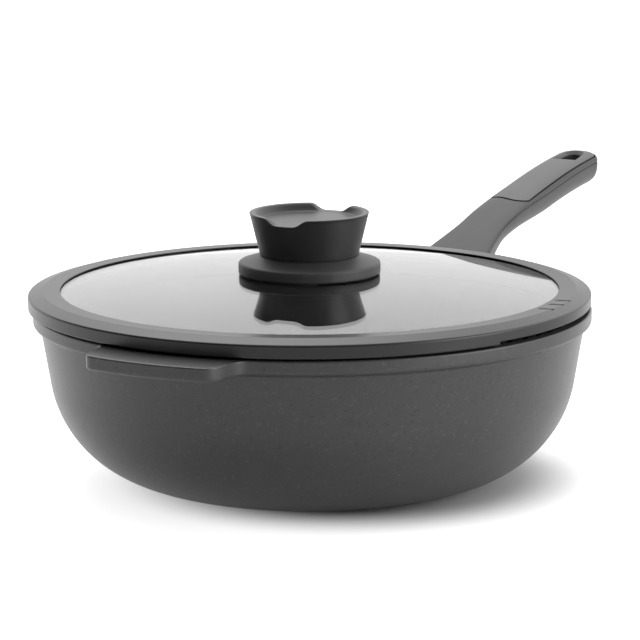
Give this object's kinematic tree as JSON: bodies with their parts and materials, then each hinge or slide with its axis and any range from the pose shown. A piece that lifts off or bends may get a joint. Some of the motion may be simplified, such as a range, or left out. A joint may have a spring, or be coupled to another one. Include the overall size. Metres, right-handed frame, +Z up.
{
  "type": "wok pan with lid",
  "caption": "Deep cast wok pan with a helper lip and a long padded handle, under a domed glass lid in a silicone straining rim with a flared spoon-rest knob.",
  "frame": {"origin": "middle of the base, on the surface that the pan stands on", "axes": "+Z up; +X out along the handle, with the helper lip at -X; the lid's strain slot faces -Y"},
  "size_m": [0.5002, 0.2963, 0.1412],
  "materials": {
    "cast_body": "matte dark grey non-stick coating with a fine speckle, outside and in",
    "disc_steel": "turned, slightly dull",
    "handle_resin": "soft-touch matte charcoal",
    "grip_rubber": "fine matte",
    "fastener_steel": "bright stainless",
    "rim_silicone": "matte dark grey silicone",
    "lid_glass": "clear tempered",
    "knob_resin": "matte near-black",
    "seal_rubber": "matte black",
    "insert_brass": "machined"
  },
  "bodies": {
    "pan": {"pan_body": "cast_body", "induction_disc": "disc_steel", "handle_core": "handle_resin", "handle_cap": "handle_resin", "grip_pad": "grip_rubber", "handle_bolt": "fastener_steel", "bolt_washer": "fastener_steel"},
    "lid": {"lid_rim": "rim_silicone", "lid_glass": "lid_glass", "knob_body": "knob_resin", "knob_base": "knob_resin", "knob_seal": "seal_rubber", "knob_insert": "insert_brass", "under_seal": "seal_rubber", "under_washer": "fastener_steel", "knob_screw": "fastener_steel"}
  },
  "joints": [
    {"name": "lid_lift", "type": "slide", "parent": "pan", "child": "lid", "axis": [0, 0, 1], "range_m": [0, 0.15]}
  ]
}
